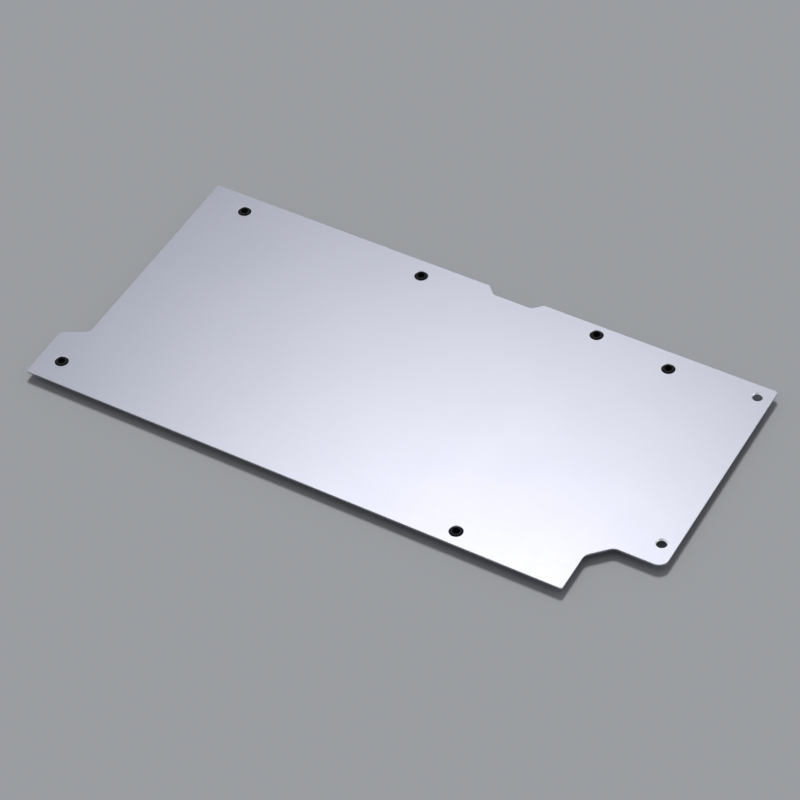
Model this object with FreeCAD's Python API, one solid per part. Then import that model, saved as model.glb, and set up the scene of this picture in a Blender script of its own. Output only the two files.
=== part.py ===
import FreeCAD, Part
import math
import os

from FreeCAD import Vector

os.makedirs("parts", exist_ok=True)

# ---------------------------------------------------------------------------
# Backplate of a liquid-cooled accelerator card: a flat sheet-metal plate with
# its six mounting screws.  Millimetres, +Z up.
# The part rests on its six screw tips; the origin is the middle of its
# footprint on that resting plane.
# ---------------------------------------------------------------------------

# plate, measured from its own front left corner (x along the card, y across)
PLATE_L = 267.0          # overall length
PLATE_W = 127.0          # overall width
PLATE_T = 1.2            # sheet thickness
EDGE_BREAK = 0.12        # broken edge, top and bottom

TAB_IN = 10.4            # left edge is set back this far behind the front tab
TAB_Y_IN = 29.8          # where the set-back left edge meets the slope
TAB_Y_OUT = 24.1         # where the slope meets the tab's left edge

CUT_X = 238.35           # front right cut-out: its left wall
CUT_Y = 26.45            # front right cut-out: its back wall
CUT_SLOPE = 8.15         # 45 degree corner between the two walls

NOTCH_X0 = 139.7         # back edge notch, left end at the edge
NOTCH_X1 = 164.5         # back edge notch, right end at the edge
NOTCH_D = 3.85           # depth, sides at 45 degrees

R_FRONT_LEFT = 0.9
R_FRONT_RIGHT = 0.9
R_CUT_INNER = 4.3
R_CUT_OUTER = 4.3
R_BACK_RIGHT = 1.1
R_NOTCH = 2.2
R_BACK_LEFT = 0.3
R_STEP_INNER = 2.4
R_STEP_OUTER = 0.9

# screws, M3, countersunk seat with a low flat-topped head and a hexagon socket
SCREW_XY = [
    (28.60, 118.45),
    (112.45, 119.05),
    (190.60, 122.00),
    (223.85, 118.50),
    (9.45, 10.90),
    (190.65, 6.25),
]
SCREW_ANGLE = [8.0, 41.0, 23.0, 52.0, 15.0, 33.0]   # how far each is turned
THREAD_R = 1.5           # outside of the M3 thread
SCREW_LEN = 3.75         # from the plate's top face to the tip
TIP_CHAMFER = 0.3
HEAD_R = 2.25            # side of the head
HEAD_TOP = 0.30          # flat top of the head above the plate
HEAD_ROUND = 0.12        # rounded edge between the two
HEX_AF = 2.8             # hexagon socket across flats
HEX_DEPTH = 1.25         # below the top of the head, before the drill point
HEX_DRILL_DEG = 28.0     # slope of the drill point
SOCKET_MOUTH_R = 1.64    # 120 degree lead-in at the socket's mouth

# holes
CSK_R = 2.85             # countersink's rim, 90 degrees included
CLEAR_R = 1.75           # clearance hole for the M3 thread
END_XY = [(261.0, 120.95), (261.0, 36.7)]
END_R = 1.8              # two plain end holes
END_CHAMFER = 0.55       # 45 degree lead-in, top side

TOP_Z = SCREW_LEN                # plate's top face above the resting plane
BOT_Z = TOP_Z - PLATE_T
OX = -PLATE_L / 2.0
OY = -PLATE_W / 2.0


def rounded_wire(points):
    """Closed wire through (x, y, radius) corners, counter-clockwise."""
    n = len(points)
    starts, ends, mids = [], [], []
    for i in range(n):
        px, py, r = points[i]
        p = Vector(px + OX, py + OY, 0)
        a = Vector(points[i - 1][0] + OX, points[i - 1][1] + OY, 0) - p
        b = Vector(points[(i + 1) % n][0] + OX, points[(i + 1) % n][1] + OY, 0) - p
        a.normalize()
        b.normalize()
        half = math.acos(max(-1.0, min(1.0, a.dot(b)))) / 2.0
        cut = r / math.tan(half)
        bis = a + b
        bis.normalize()
        centre = p + bis * (r / math.sin(half))
        starts.append(p + a * cut)
        ends.append(p + b * cut)
        mids.append(centre - bis * r)
    edges = []
    for i in range(n):
        edges.append(Part.Arc(starts[i], mids[i], ends[i]).toShape())
        edges.append(Part.LineSegment(ends[i], starts[(i + 1) % n]).toShape())
    return Part.Wire(edges)


def make_plate():
    outline = [
        (0.0, 0.0, R_FRONT_LEFT),
        (CUT_X, 0.0, R_FRONT_RIGHT),
        (CUT_X, CUT_Y - CUT_SLOPE, R_CUT_INNER),
        (CUT_X + CUT_SLOPE, CUT_Y, R_CUT_INNER),
        (PLATE_L, CUT_Y, R_CUT_OUTER),
        (PLATE_L, PLATE_W, R_BACK_RIGHT),
        (NOTCH_X1, PLATE_W, R_NOTCH),
        (NOTCH_X1 - NOTCH_D, PLATE_W - NOTCH_D, R_NOTCH),
        (NOTCH_X0 + NOTCH_D, PLATE_W - NOTCH_D, R_NOTCH),
        (NOTCH_X0, PLATE_W, R_NOTCH),
        (TAB_IN, PLATE_W, R_BACK_LEFT),
        (TAB_IN, TAB_Y_IN, R_STEP_INNER),
        (0.0, TAB_Y_OUT, R_STEP_OUTER),
    ]
    wire = rounded_wire(outline)
    slab = Part.Face(wire).extrude(Vector(0, 0, PLATE_T))
    rim = []
    for e in slab.Edges:
        z = [v.Point.z for v in e.Vertexes]
        if max(z) - min(z) < 1e-6:
            rim.append(e)
    slab = slab.makeChamfer(EDGE_BREAK, rim)
    slab.translate(Vector(0, 0, BOT_Z))

    cutters = []
    over = 0.5
    for x, y in SCREW_XY:
        # 90 degree countersink from the top face, then the clearance hole
        depth = CSK_R - CLEAR_R
        cone = Part.makeCone(CLEAR_R, CSK_R + over, depth + over,
                             Vector(x + OX, y + OY, TOP_Z - depth))
        bore = Part.makeCylinder(CLEAR_R, PLATE_T + 2 * over,
                                 Vector(x + OX, y + OY, BOT_Z - over))
        cutters += [cone, bore]
    for x, y in END_XY:
        cone = Part.makeCone(END_R, END_R + END_CHAMFER + over, END_CHAMFER + over,
                             Vector(x + OX, y + OY, TOP_Z - END_CHAMFER))
        bore = Part.makeCylinder(END_R, PLATE_T + 2 * over,
                                 Vector(x + OX, y + OY, BOT_Z - over))
        cutters += [cone, bore]
    plate = slab
    for c in cutters:
        plate = plate.cut(c)
    return plate.removeSplitter()


def make_screw():
    """Screw with its axis on Z, tip at z = 0, plate's top face at z = SCREW_LEN."""
    top = SCREW_LEN + HEAD_TOP
    z_land = SCREW_LEN - (CSK_R - HEAD_R)          # head's side starts here
    z_cone = SCREW_LEN - (CSK_R - THREAD_R)        # seat cone starts here
    z_edge = top - HEAD_ROUND
    r_edge = HEAD_R - HEAD_ROUND
    pts = [
        Vector(0, 0, 0),
        Vector(THREAD_R - TIP_CHAMFER, 0, 0),
        Vector(THREAD_R, 0, TIP_CHAMFER),
        Vector(THREAD_R, 0, z_cone),
        Vector(HEAD_R, 0, z_land),
        Vector(HEAD_R, 0, z_edge),
    ]
    s45 = math.sqrt(0.5)
    mid = Vector(r_edge + HEAD_ROUND * s45, 0, z_edge + HEAD_ROUND * s45)
    flat = Vector(r_edge, 0, top)
    centre = Vector(0, 0, top)
    edges = [Part.LineSegment(pts[i], pts[i + 1]).toShape() for i in range(len(pts) - 1)]
    edges.append(Part.Arc(pts[-1], mid, flat).toShape())
    edges.append(Part.LineSegment(flat, centre).toShape())
    edges.append(Part.LineSegment(centre, pts[0]).toShape())
    body = Part.Face(Part.Wire(edges)).revolve(Vector(0, 0, 0), Vector(0, 0, 1), 360)

    # hexagon socket with a drill-point floor and a conical lead-in
    corner = HEX_AF / 2.0 / math.cos(math.radians(30))
    ring = [Vector(corner * math.cos(math.radians(60 * i)),
                   corner * math.sin(math.radians(60 * i)), top - HEX_DEPTH) for i in range(7)]
    hexagon = Part.Face(Part.makePolygon(ring)).extrude(Vector(0, 0, HEX_DEPTH + 0.5))
    drill_r = HEX_AF / 2.0 * 0.98
    drill_h = drill_r * math.tan(math.radians(HEX_DRILL_DEG))
    point = Part.makeCone(0, drill_r, drill_h, Vector(0, 0, top - HEX_DEPTH - drill_h))
    lead_h = 0.4
    grow = lead_h / math.tan(math.radians(30))
    lead = Part.makeCone(SOCKET_MOUTH_R - grow, SOCKET_MOUTH_R + grow, 2 * lead_h,
                         Vector(0, 0, top - lead_h))
    for tool in (hexagon, point, lead):
        body = body.cut(tool)
    return body.removeSplitter()


plate = make_plate()
screws = []
for (x, y), ang in zip(SCREW_XY, SCREW_ANGLE):
    s = make_screw()
    s.rotate(Vector(0, 0, 0), Vector(0, 0, 1), ang)
    s.translate(Vector(x + OX, y + OY, 0))
    screws.append(s)

for name, shape in (("backplate", plate), ("mounting_screws", Part.makeCompound(screws))):
    shape.exportStep("parts/%s.step" % name)
    bb = shape.BoundBox
    print("%-16s valid=%s solids=%d volume=%.2f box=(%.2f %.2f %.2f)-(%.2f %.2f %.2f)" % (
        name, shape.isValid(), len(shape.Solids), shape.Volume,
        bb.XMin, bb.YMin, bb.ZMin, bb.XMax, bb.YMax, bb.ZMax))
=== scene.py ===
import math

import bmesh
import bpy
from mathutils import Matrix, Vector
from mathutils.geometry import delaunay_2d_cdt


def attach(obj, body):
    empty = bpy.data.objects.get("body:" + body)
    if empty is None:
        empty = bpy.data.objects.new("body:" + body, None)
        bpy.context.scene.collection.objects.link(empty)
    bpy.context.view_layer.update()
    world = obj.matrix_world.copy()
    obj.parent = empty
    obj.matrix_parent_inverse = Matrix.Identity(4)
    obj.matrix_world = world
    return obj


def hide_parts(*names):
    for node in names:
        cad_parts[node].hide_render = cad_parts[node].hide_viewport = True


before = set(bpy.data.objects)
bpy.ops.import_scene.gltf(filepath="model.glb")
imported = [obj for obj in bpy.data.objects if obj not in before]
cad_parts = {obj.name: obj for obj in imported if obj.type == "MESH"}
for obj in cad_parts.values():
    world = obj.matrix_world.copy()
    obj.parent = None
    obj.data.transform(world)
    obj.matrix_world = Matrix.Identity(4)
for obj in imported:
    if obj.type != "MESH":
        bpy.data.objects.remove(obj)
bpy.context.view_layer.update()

MM = 0.001

# ---------------------------------------------------------------------------
# sizes, millimetres, the same as the solids
# ---------------------------------------------------------------------------
PLATE_L, PLATE_W, PLATE_T = 267.0, 127.0, 1.2
OX, OY = -PLATE_L / 2, -PLATE_W / 2
TOP_Z = 3.75
BOT_Z = TOP_Z - PLATE_T
EDGE_R = 0.12                     # rolled-over sheared edge

OUTLINE = [                       # x, y, corner radius, counter-clockwise
    (0.0, 0.0, 0.9),
    (238.35, 0.0, 0.9),
    (238.35, 18.30, 4.3),
    (246.50, 26.45, 4.3),
    (267.0, 26.45, 4.3),
    (267.0, 127.0, 1.1),
    (164.5, 127.0, 2.2),
    (160.65, 123.15, 2.2),
    (143.55, 123.15, 2.2),
    (139.7, 127.0, 2.2),
    (10.4, 127.0, 0.3),
    (10.4, 29.8, 2.4),
    (0.0, 24.1, 0.9),
]
SCREWS = [
    (28.60, 118.45, 8.0),
    (112.45, 119.05, 41.0),
    (190.60, 122.00, 23.0),
    (223.85, 118.50, 52.0),
    (9.45, 10.90, 15.0),
    (190.65, 6.25, 33.0),
]
CSK_R, CLEAR_R = 2.85, 1.75
END_XY = [(261.0, 120.95), (261.0, 36.7)]
END_R, END_CH = 1.8, 0.55

SCREW_LEN, THREAD_R, TIP_CH = 3.75, 1.5, 0.3
HEAD_R = 2.25                     # head's side
HEAD_TOP = 0.30                   # flat top of the head above the plate
HEAD_RND = 0.12                   # rounded edge between the two
HEX_AF = 2.8                      # hexagon socket across flats
HEX_DEPTH = 1.25                  # flat depth below the head's top
MOUTH_R = 1.64                    # 120 degree lead-in at the socket's mouth


# ---------------------------------------------------------------------------
# small helpers
# ---------------------------------------------------------------------------
def new_object(name, bm):
    me = bpy.data.meshes.new(name)
    bm.to_mesh(me)
    bm.free()
    ob = bpy.data.objects.new(name, me)
    bpy.context.scene.collection.objects.link(ob)
    return ob


def rounded(points, inset, step_deg=6.0):
    """Corner-rounded outline moved inwards by inset; the same point count for every inset."""
    n = len(points)
    out = []
    for i in range(n):
        px, py, r = points[i]
        p = Vector((px, py))
        a = Vector(points[i - 1][:2]) - p
        b = Vector(points[(i + 1) % n][:2]) - p
        a.normalize()
        b.normalize()
        half = math.acos(max(-1.0, min(1.0, a.dot(b)))) / 2
        bis = (a + b).normalized()
        c = p + bis * (r / math.sin(half))
        turn = (-a.x) * b.y - (-a.y) * b.x     # travel direction is -a, then b
        convex = turn > 0
        s = p + a * (r / math.tan(half)) - c
        e = p + b * (r / math.tan(half)) - c
        a0 = math.atan2(s.y, s.x)
        sweep = math.pi - 2 * half
        if not convex:
            sweep = -sweep
        m = max(6, int(round(abs(math.degrees(sweep)) / step_deg)))
        rr = r - inset if convex else r + inset
        rr = max(rr, 0.02)
        for k in range(m + 1):
            t = a0 + sweep * k / m
            out.append(Vector((c.x + rr * math.cos(t) + OX, c.y + rr * math.sin(t) + OY)))
    return out


def circle(cx, cy, r, n):
    return [Vector((cx + OX + r * math.cos(2 * math.pi * k / n),
                    cy + OY + r * math.sin(2 * math.pi * k / n))) for k in range(n)]


def add_ring(bm, pts, z):
    return [bm.verts.new((p.x * MM, p.y * MM, z * MM)) for p in pts]


def bridge(bm, low, high, smooth=True, flip=False):
    n = len(low)
    for k in range(n):
        q = [low[k], low[(k + 1) % n], high[(k + 1) % n], high[k]]
        if flip:
            q.reverse()
        f = bm.faces.new(q)
        f.smooth = smooth


def flat_fill(bm, loops, z, up):
    """Fills the flat face between closed loops of existing vertices (outer first)."""
    coords, owner, edges, k = [], [], [], 0
    for loop in loops:
        m = len(loop)
        for j, v in enumerate(loop):
            coords.append(Vector((v.co.x / MM, v.co.y / MM)))
            owner.append(v)
            edges.append((k + j, k + (j + 1) % m))
        k += m
    res = delaunay_2d_cdt(coords, edges, [], 2, 1e-5)
    verts2, _, faces2, orig, _, _ = res
    out = []
    for f in faces2:
        vs = [owner[orig[i][0]] for i in f]
        c = sum((Vector((v.co.x / MM, v.co.y / MM)) for v in vs), Vector((0, 0))) / len(vs)
        inside_hole = False
        for h in loops[1:]:
            hc = sum((Vector((v.co.x / MM, v.co.y / MM)) for v in h), Vector((0, 0))) / len(h)
            hr = (Vector((h[0].co.x / MM, h[0].co.y / MM)) - hc).length
            if (c - hc).length < hr * 0.999:
                inside_hole = True
                break
        if inside_hole:
            continue
        a, b, d = (v.co for v in vs[:3])
        if ((b - a).cross(d - a).z > 0) != up:
            vs.reverse()
        g = bm.faces.new(vs)
        g.smooth = False
        out.append(g)
    return out


# ---------------------------------------------------------------------------
# the plate: flat faces, rolled edges, countersunk seats, bevelled end holes
# ---------------------------------------------------------------------------
def plate_mesh():
    bm = bmesh.new()
    # outer edge profile: quarter rounds top and bottom
    steps = 4
    prof = []
    for k in range(steps + 1):
        t = math.pi / 2 * k / steps
        prof.append((EDGE_R * (1 - math.sin(t)), BOT_Z + EDGE_R * (1 - math.cos(t))))
    # (inset, z) from the bottom face outwards and up
    prof += [(i, TOP_Z - (z - BOT_Z)) for i, z in reversed(prof)]
    rings = [add_ring(bm, rounded(OUTLINE, i), z) for i, z in prof]
    for lo, hi in zip(rings, rings[1:]):
        bridge(bm, lo, hi)
    top_loops, bot_loops = [rings[-1]], [rings[0]]

    def hole(cx, cy, profile, n):
        """profile: (r, z) from the top face down to the bottom face."""
        rs = [add_ring(bm, circle(cx, cy, r, n), z) for r, z in profile]
        for hi, lo in zip(rs, rs[1:]):
            bridge(bm, lo, hi, flip=True)
        top_loops.append(rs[0])
        bot_loops.append(rs[-1])

    e = 0.035                                   # tiny edge break at each rim
    for x, y, _ in SCREWS:
        d = CSK_R - CLEAR_R
        hole(x, y, [
            (CSK_R + 0.03, TOP_Z),
            (CSK_R + 0.005, TOP_Z - 0.010),
            (CSK_R - 0.03, TOP_Z - 0.035),
            (CLEAR_R + 0.01, TOP_Z - d + 0.01),
            (CLEAR_R, TOP_Z - d - 0.01),
            (CLEAR_R, BOT_Z + e),
            (CLEAR_R + e * 0.3, BOT_Z + e * 0.3),
            (CLEAR_R + e, BOT_Z),
        ], 96)
    for x, y in END_XY:
        hole(x, y, [
            (END_R + END_CH + 0.03, TOP_Z),
            (END_R + END_CH + 0.005, TOP_Z - 0.010),
            (END_R + END_CH - 0.03, TOP_Z - 0.035),
            (END_R + 0.02, TOP_Z - END_CH + 0.02),
            (END_R, TOP_Z - END_CH - 0.02),
            (END_R, BOT_Z + e),
            (END_R + e * 0.3, BOT_Z + e * 0.3),
            (END_R + e, BOT_Z),
        ], 80)
    flat_fill(bm, top_loops, TOP_Z, True)
    flat_fill(bm, bot_loops, BOT_Z, False)
    bm.normal_update()
    return bm


def sharpen(ob, degrees):
    """Marks the edges that bend more than this as sharp."""
    me = ob.data
    bm = bmesh.new()
    bm.from_mesh(me)
    lim = math.radians(degrees)
    for e in bm.edges:
        if len(e.link_faces) == 2 and e.calc_face_angle(0.0) > lim:
            e.smooth = False
    bm.to_mesh(me)
    bm.free()


plate = new_object("backplate_sheet", plate_mesh())
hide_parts("backplate")
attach(plate, "root")


# ---------------------------------------------------------------------------
# the screws
# ---------------------------------------------------------------------------
def hex_r(ang):
    """Radius of the hexagon socket at this angle, corners at multiples of 60 degrees."""
    t = (ang % (math.pi / 3)) - math.pi / 6
    return (HEX_AF / 2) / math.cos(t)


PITCH = 0.5
MINOR_R = 1.5 - 0.307


def thread_radius(z, ang):
    """Outside radius of the single-start M3 thread at height z and angle ang."""
    ph = (z / PITCH - ang / (2 * math.pi)) % 1.0
    u = abs(ph - 0.5) * 2            # 0 at the crest, 1 at the root
    crest, root = 0.125, 0.80
    if u < crest:
        r = THREAD_R
    elif u > root:
        r = MINOR_R
    else:
        r = THREAD_R + (MINOR_R - THREAD_R) * (u - crest) / (root - crest)
    return r


def screw_mesh(cx, cy, turn):
    bm = bmesh.new()
    n = 96
    ang = [2 * math.pi * k / n for k in range(n)]
    rim = SCREW_LEN                       # the plate's top face
    top = rim + HEAD_TOP

    def place(x, y, z):
        t = math.radians(turn)
        return ((x * math.cos(t) - y * math.sin(t) + cx + OX) * MM,
                (x * math.sin(t) + y * math.cos(t) + cy + OY) * MM, z * MM)

    def ring(rad, z):
        """rad and z may be numbers or functions of the angle."""
        out = []
        for a in ang:
            r = rad(a) if callable(rad) else rad
            zz = z(a) if callable(z) else z
            out.append(bm.verts.new(place(r * math.cos(a), r * math.sin(a), zz)))
        return out

    prev = None

    def go(rad, z):
        nonlocal prev
        cur = ring(rad, z)
        if prev is not None:
            bridge(bm, cur, prev)
        prev = cur
        return cur

    # drill-point floor of the socket
    z_floor = top - HEX_DEPTH
    drill = HEX_AF / 2 * 0.98
    slope = math.tan(math.radians(28))
    centre = bm.verts.new(place(0, 0, z_floor - drill * slope))
    first = go(drill * 0.5, z_floor - drill * 0.5 * slope)
    for k in range(n):
        f = bm.faces.new([centre, first[k], first[(k + 1) % n]])
        f.smooth = True
    go(drill, z_floor)
    go(lambda a: hex_r(a) - 0.015, z_floor + 0.002)
    go(hex_r, z_floor + 0.02)
    # walls up to the conical lead-in, then the lead-in
    tan30 = math.tan(math.radians(30))
    go(hex_r, lambda a: top - (MOUTH_R - hex_r(a)) * tan30 - 0.004)
    # the socket faces built so far take the screw's second material, a darkened copy: painted shade in the socket
    for f in bm.faces:
        f.material_index = 1
    go(lambda a: hex_r(a) + 0.006, lambda a: top - (MOUTH_R - hex_r(a)) * tan30 + 0.002)
    go(MOUTH_R - 0.006, top - 0.005)
    go(MOUTH_R + 0.012, top)
    # flat top, rounded edge, side, seat cone
    go(HEAD_R - HEAD_RND, top)
    for k in range(1, 7):
        t = math.pi / 2 * k / 6
        go(HEAD_R - HEAD_RND * (1 - math.sin(t)), top - HEAD_RND * (1 - math.cos(t)))
    z_land = rim - (CSK_R - HEAD_R)
    go(HEAD_R, z_land + 0.02)
    go(HEAD_R - 0.015, z_land - 0.015)
    for r in (2.1, 1.8, THREAD_R + 0.02):
        go(r, rim - (CSK_R - r))
    # threaded shank, from under the head to the chamfered tip
    z_top = rim - (CSK_R - THREAD_R) - 0.02
    rows = 84
    for k in range(rows + 1):
        z = z_top * (1 - k / rows)
        fade = max(0.0, min(1.0, (z_top - z) / 0.25))
        tip_r = THREAD_R - max(0.0, TIP_CH - z)
        go(lambda a: min(THREAD_R + (thread_radius(z, a) - THREAD_R) * fade, tip_r), z)
    go(0.6, 0.0)
    tip = bm.verts.new(place(0, 0, 0))
    for k in range(n):
        f = bm.faces.new([tip, prev[(k + 1) % n], prev[k]])
        f.smooth = True
    bmesh.ops.recalc_face_normals(bm, faces=bm.faces)
    return bm


screw_names = ["screw_back_a", "screw_back_b", "screw_back_c", "screw_back_d",
               "screw_front_left", "screw_front_right"]
screw_obs = []
for name, (x, y, turn) in zip(screw_names, SCREWS):
    ob = new_object(name, screw_mesh(x, y, turn))
    sharpen(ob, 32)
    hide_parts("mounting_screws")
    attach(ob, "root")
    screw_obs.append(ob)


# ---------------------------------------------------------------------------
# materials
# ---------------------------------------------------------------------------
def node_material(name):
    m = bpy.data.materials.new(name)
    m.use_nodes = True
    nt = m.node_tree
    nt.nodes.clear()
    out = nt.nodes.new("ShaderNodeOutputMaterial")
    b = nt.nodes.new("ShaderNodeBsdfPrincipled")
    nt.links.new(b.outputs["BSDF"], out.inputs["Surface"])
    return m, nt, b


def noise(nt, scale, detail, rough, vec, dims="3D"):
    n = nt.nodes.new("ShaderNodeTexNoise")
    n.noise_dimensions = dims
    n.inputs["Scale"].default_value = scale
    n.inputs["Detail"].default_value = detail
    n.inputs["Roughness"].default_value = rough
    nt.links.new(vec, n.inputs["Vector"])
    return n.outputs["Fac"]


def ramp(nt, fac, stops):
    r = nt.nodes.new("ShaderNodeValToRGB")
    els = r.color_ramp.elements
    els[0].position, els[0].color = stops[0][0], stops[0][1]
    els[1].position, els[1].color = stops[-1][0], stops[-1][1]
    for pos, col in stops[1:-1]:
        e = els.new(pos)
        e.color = col
    nt.links.new(fac, r.inputs["Fac"])
    return r.outputs["Color"]


def map_range(nt, value, lo, hi, frm=(0.0, 1.0)):
    m = nt.nodes.new("ShaderNodeMapRange")
    m.inputs["From Min"].default_value = frm[0]
    m.inputs["From Max"].default_value = frm[1]
    m.inputs["To Min"].default_value = lo
    m.inputs["To Max"].default_value = hi
    nt.links.new(value, m.inputs["Value"])
    return m.outputs["Result"]


def math_node(nt, op, a, b=None):
    n = nt.nodes.new("ShaderNodeMath")
    n.operation = op
    for k, v in enumerate((a, b)):
        if v is None:
            continue
        if isinstance(v, (int, float)):
            n.inputs[k].default_value = v
        else:
            nt.links.new(v, n.inputs[k])
    return n.outputs[0]


def stretched(nt, vec, scale):
    n = nt.nodes.new("ShaderNodeMapping")
    n.inputs["Scale"].default_value = scale
    nt.links.new(vec, n.inputs["Vector"])
    return n.outputs["Vector"]


def mixed(nt, fac, a, b):
    n = nt.nodes.new("ShaderNodeMix")
    n.data_type = "RGBA"
    nt.links.new(fac, n.inputs[0])
    nt.links.new(a, n.inputs[6])
    nt.links.new(b, n.inputs[7])
    return n.outputs[2]


def plate_material():
    m, nt, b = node_material("satin_plated_metal")
    coord = nt.nodes.new("ShaderNodeTexCoord")
    tc = coord.outputs["Object"]
    b.inputs["Metallic"].default_value = 1.0
    # 1 on the sheared edges and in the bores, 0 on the flat faces and the machined cones
    sep = nt.nodes.new("ShaderNodeSeparateXYZ")
    nt.links.new(coord.outputs["Normal"], sep.inputs[0])
    flat = math_node(nt, "ABSOLUTE", sep.outputs["Z"])
    side = map_range(nt, flat, 1.0, 0.0, (0.30, 0.62))
    # faint colour clouding of the plating; the darker grey on the sheared edges and in the bores, and the greyer
    # machined cones, are partly bare cut metal and partly painted shade, darkening these faces as dark
    # surroundings reflected in them would
    cloud = noise(nt, 28.0, 3.0, 0.5, tc)
    face_col = ramp(nt, cloud, [(0.30, (0.806, 0.821, 0.873, 1)), (0.70, (0.824, 0.839, 0.887, 1))])
    streak = noise(nt, 2600.0, 3.0, 0.6, stretched(nt, tc, (1.0, 1.0, 0.04)))
    side_col_painted_shade = ramp(nt, streak, [(0.30, (0.440, 0.452, 0.482, 1)), (0.70, (0.560, 0.573, 0.607, 1))])
    cone_col_painted_shade = ramp(nt, streak, [(0.30, (0.720, 0.730, 0.760, 1)), (0.70, (0.780, 0.790, 0.820, 1))])
    cone = map_range(nt, flat, 1.0, 0.0, (0.80, 0.97))
    col = mixed(nt, cone, face_col, cone_col_painted_shade)
    nt.links.new(mixed(nt, side, col, side_col_painted_shade), b.inputs["Base Color"])
    # roughness: smooth satin with very soft variation and a fine lengthwise grain
    fine = noise(nt, 900.0, 2.0, 0.5, tc)
    soft = noise(nt, 45.0, 2.0, 0.5, tc)
    lengthwise = noise(nt, 2400.0, 3.0, 0.6, stretched(nt, tc, (0.012, 1.0, 1.0)))
    rough = math_node(nt, "ADD", map_range(nt, fine, -0.016, 0.016), map_range(nt, soft, 0.213, 0.227))
    rough = math_node(nt, "ADD", rough, map_range(nt, lengthwise, -0.012, 0.012))
    rough = math_node(nt, "ADD", rough, math_node(nt, "MULTIPLY", side, 0.16))
    rough = math_node(nt, "ADD", rough, math_node(nt, "MULTIPLY", cone, -0.11))
    nt.links.new(rough, b.inputs["Roughness"])
    # micro texture: grain on the faces, shear streaks on the edges
    grain = noise(nt, 5200.0, 2.0, 0.6, tc)
    height = math_node(nt, "ADD", grain, math_node(nt, "MULTIPLY", lengthwise, 0.25))
    height = math_node(nt, "ADD", height, math_node(nt, "MULTIPLY", math_node(nt, "MULTIPLY", side, streak), 6.0))
    bump = nt.nodes.new("ShaderNodeBump")
    bump.inputs["Strength"].default_value = 0.06
    bump.inputs["Distance"].default_value = 0.00002
    nt.links.new(height, bump.inputs["Height"])
    nt.links.new(bump.outputs["Normal"], b.inputs["Normal"])
    return m


def screw_material(name, gloss, dark, rough_lo, rough_hi):
    m, nt, b = node_material(name)
    tc = nt.nodes.new("ShaderNodeTexCoord").outputs["Object"]
    b.inputs["Metallic"].default_value = 0.0
    blotch = noise(nt, 420.0, 3.0, 0.55, tc)
    col = ramp(nt, blotch, [(0.35, (0.0065 * dark, 0.0068 * dark, 0.0075 * dark, 1)),
                            (0.65, (0.0105 * dark, 0.0108 * dark, 0.0118 * dark, 1))])
    nt.links.new(col, b.inputs["Base Color"])
    fine = noise(nt, 2600.0, 2.0, 0.5, tc)
    nt.links.new(map_range(nt, fine, rough_lo, rough_hi), b.inputs["Roughness"])
    b.inputs["Specular IOR Level"].default_value = gloss
    grain = noise(nt, 9000.0, 2.0, 0.6, tc)
    bump = nt.nodes.new("ShaderNodeBump")
    bump.inputs["Strength"].default_value = 0.12
    bump.inputs["Distance"].default_value = 0.00002
    nt.links.new(grain, bump.inputs["Height"])
    nt.links.new(bump.outputs["Normal"], b.inputs["Normal"])
    return m


plate_mat = plate_material()
screw_mat = screw_material("black_oxide_steel", 0.24, 0.7, 0.32, 0.45)
# a darker, less glossy copy of the black oxide for the socket faces: painted shade in the recess
socket_shade_mat = screw_material("black_oxide_socket_painted_shade", 0.06, 0.3, 0.60, 0.75)
plate.data.materials.append(plate_mat)
for ob in screw_obs:
    ob.data.materials.append(screw_mat)
    ob.data.materials.append(socket_shade_mat)
for node, mat in (("backplate", plate_mat), ("mounting_screws", screw_mat)):
    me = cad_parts[node].data
    me.materials.clear()
    me.materials.append(mat)


# ---------------------------------------------------------------------------
# floor, light, camera
# ---------------------------------------------------------------------------
def floor_object():
    bm = bmesh.new()
    s = 6.0
    vs = [bm.verts.new(p) for p in ((-s, -s, 0), (s, -s, 0), (s, s, 0), (-s, s, 0))]
    bm.faces.new(vs)
    ob = new_object("floor", bm)
    m, nt, b = node_material("pale_floor")
    b.inputs["Base Color"].default_value = (0.455, 0.467, 0.487, 1)
    b.inputs["Roughness"].default_value = 0.8
    b.inputs["Specular IOR Level"].default_value = 0.03
    ob.data.materials.append(m)
    return ob


floor = floor_object()

# the studio: plain soft light all round, darker on the near side
def unit(az, el):
    """Direction from azimuth (from +Y towards +X) and elevation, degrees."""
    az, el = math.radians(az), math.radians(el)
    return (math.sin(az) * math.cos(el), math.cos(az) * math.cos(el), math.sin(el))


BOX_AZ, BOX_EL = -29.5, 53.8        # broad soft box that the top face mirrors
SIDE_AZ, SIDE_EL = 76.0, 28.0       # small soft box that the bevels and seats catch
NEAR_AZ, NEAR_EL = 148.0, 40.0      # the open, darker side of the studio


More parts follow.
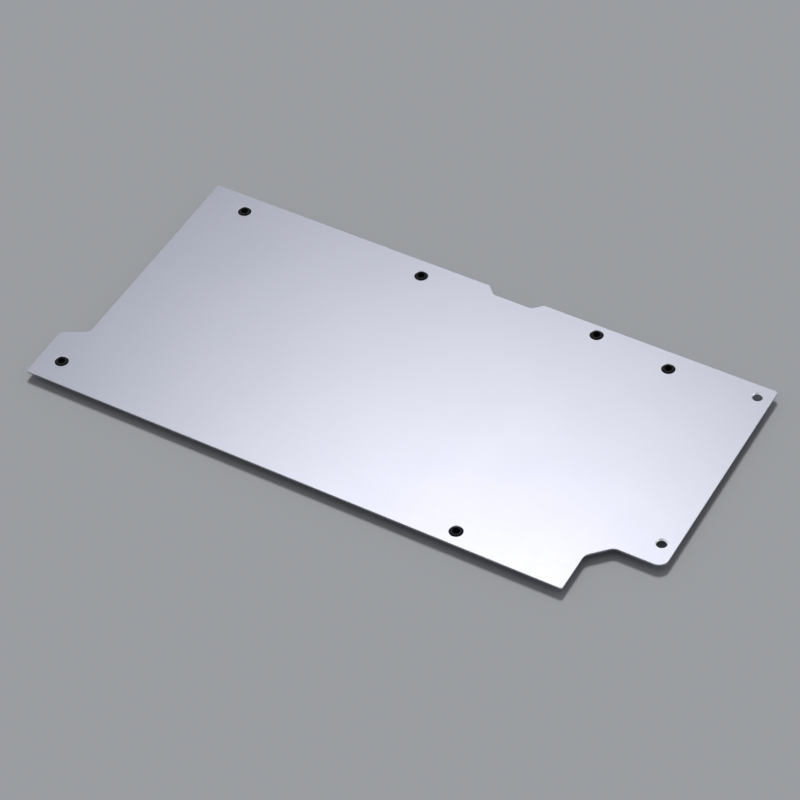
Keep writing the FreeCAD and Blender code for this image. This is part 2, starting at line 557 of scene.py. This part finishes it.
class Sky:
    """Helpers for light that varies with direction, in one node tree."""

    def __init__(self, nt, direction):
        self.nt, self.direction = nt, direction

    def math(self, op, a, b=None):
        return math_node(self.nt, op, a, b)

    def angle(self, az, el):
        d = self.nt.nodes.new("ShaderNodeVectorMath")
        d.operation = "DOT_PRODUCT"
        self.nt.links.new(self.direction, d.inputs[0])
        d.inputs[1].default_value = unit(az, el)
        c = self.math("MINIMUM", self.math("MAXIMUM", d.outputs["Value"], -1.0), 1.0)
        return self.math("ARCCOSINE", c)

    def glow(self, angle, sigma_deg, amount):
        """A soft round glow of this width."""
        s2 = 2 * math.radians(sigma_deg) ** 2
        e = self.math("MULTIPLY", self.math("MULTIPLY", angle, angle), -1 / s2)
        return self.math("MULTIPLY", self.math("POWER", math.e, e), amount)

    def away(self, angle, width_deg):
        """0 over a round patch of this half width, 1 outside it, with a soft edge."""
        t = self.math("POWER", self.math("MULTIPLY", angle, 1 / math.radians(width_deg)), 4.0)
        return self.math("SUBTRACT", 1.0, self.math("POWER", math.e, self.math("MULTIPLY", t, -1.0)))

    def height(self):
        """0 straight down, 0.5 at the horizon, 1 straight up."""
        sep = self.nt.nodes.new("ShaderNodeSeparateXYZ")
        self.nt.links.new(self.direction, sep.inputs[0])
        return self.math("ADD", self.math("MULTIPLY", sep.outputs["Z"], 0.5), 0.5)

    def light(self, kind, colour, strength):
        n = self.nt.nodes.new(kind)
        if isinstance(colour, tuple):
            n.inputs["Color"].default_value = colour + (1,)
        else:
            self.nt.links.new(colour, n.inputs["Color"])
        self.nt.links.new(strength, n.inputs["Strength"])
        return n.outputs[0]

    def add(self, a, b):
        n = self.nt.nodes.new("ShaderNodeAddShader")
        self.nt.links.new(a, n.inputs[0])
        self.nt.links.new(b, n.inputs[1])
        return n.outputs[0]


world = bpy.data.worlds.new("studio")
world.use_nodes = True
bpy.context.scene.world = world
wt = world.node_tree
wt.nodes.clear()
sky = Sky(wt, wt.nodes.new("ShaderNodeTexCoord").outputs["Generated"])
band = ramp(wt, sky.height(), [
    (0.00, (0.14, 0.145, 0.155, 1)),
    (0.40, (0.18, 0.185, 0.20, 1)),
    (0.47, (0.33, 0.34, 0.355, 1)),
    (0.62, (0.39, 0.40, 0.42, 1)),
    (0.84, (0.40, 0.41, 0.43, 1)),
    (1.00, (0.30, 0.305, 0.32, 1)),
])
near = sky.math("SUBTRACT", 1.0, sky.glow(sky.angle(NEAR_AZ, NEAR_EL), 36.0, 0.70))
w_out = wt.nodes.new("ShaderNodeOutputWorld")
wt.links.new(sky.light("ShaderNodeBackground", band, near), w_out.inputs["Surface"])


# the same studio as bright surfaces mirror it: white walls and the two boxes
def dome_object():
    bm = bmesh.new()
    bmesh.ops.create_uvsphere(bm, u_segments=48, v_segments=24, radius=9.0)
    ob = new_object("studio_walls", bm)
    m = bpy.data.materials.new("studio_walls")
    m.use_nodes = True
    nt = m.node_tree
    nt.nodes.clear()
    norm = nt.nodes.new("ShaderNodeVectorMath")
    norm.operation = "NORMALIZE"
    nt.links.new(nt.nodes.new("ShaderNodeTexCoord").outputs["Object"], norm.inputs[0])
    w = Sky(nt, norm.outputs["Vector"])
    walls = ramp(nt, w.height(), [
        (0.00, (0.20, 0.205, 0.215, 1)),
        (0.48, (0.30, 0.305, 0.32, 1)),
        (0.58, (0.775, 0.80, 0.84, 1)),
        (0.86, (0.775, 0.80, 0.84, 1)),
        (1.00, (0.74, 0.76, 0.795, 1)),
    ])
    box = w.angle(BOX_AZ, BOX_EL)
    clear = w.away(box, 25.0)
    near = w.math("SUBTRACT", 1.0, w.glow(w.angle(NEAR_AZ, NEAR_EL), 20.0, 0.40))
    total = w.light("ShaderNodeEmission", walls, w.math("MULTIPLY", clear, near))
    total = w.add(total, w.light("ShaderNodeEmission", (1.06, 0.992, 1.02), w.glow(box, 6.2, 1.86)))
    total = w.add(total, w.light("ShaderNodeEmission", (0.34, 0.84, 1.42), w.glow(box, 10.0, 0.14)))
    total = w.add(total, w.light("ShaderNodeEmission", (1.0, 1.0, 1.0),
                                 w.glow(w.angle(SIDE_AZ, SIDE_EL), 6.0, 0.9)))
    out = nt.nodes.new("ShaderNodeOutputMaterial")
    nt.links.new(total, out.inputs["Surface"])
    m.cycles.emission_sampling = "NONE"
    ob.data.materials.append(m)
    ob.visible_camera = False
    ob.visible_diffuse = False
    ob.visible_shadow = False
    ob.visible_transmission = False
    ob.visible_volume_scatter = False
    return ob


dome_object()


# soft key light from behind, so that the shadow lies along the near edges
key = bpy.data.lights.new("key", "SUN")
key.angle = math.radians(12.9)
key.energy = 1.75
key.color = (1.0, 0.997, 0.99)
key_ob = bpy.data.objects.new("key", key)
key_ob.location = Vector(unit(-28.0, 51.0)) * 4.0
key_ob.rotation_mode = "QUATERNION"
key_ob.rotation_quaternion = (-key_ob.location).to_track_quat("-Z", "Y")
key_ob.visible_glossy = False
bpy.context.scene.collection.objects.link(key_ob)

cam_data = bpy.data.cameras.new("camera")
cam_data.lens = 132.73
cam_data.sensor_width = 36.0
cam_data.clip_start = 0.01
cam_data.clip_end = 20
cam = bpy.data.objects.new("camera", cam_data)
right = Vector((0.86929799, 0.49307078, -0.03467296))
up = Vector((-0.33930327, 0.64626751, 0.68352879))
back = Vector((0.35943608, -0.58242555, 0.72909957))
S = 0.267
cam.matrix_world = Matrix((
    (right.x, up.x, back.x, 2.06788592 * S + OX * MM),
    (right.y, up.y, back.y, -2.30195511 * S + OY * MM),
    (right.z, up.z, back.z, 3.13917925 * S + TOP_Z * MM),
    (0, 0, 0, 1),
))
bpy.context.scene.collection.objects.link(cam)
bpy.context.scene.camera = cam
bpy.context.scene.view_settings.view_transform = "Standard"
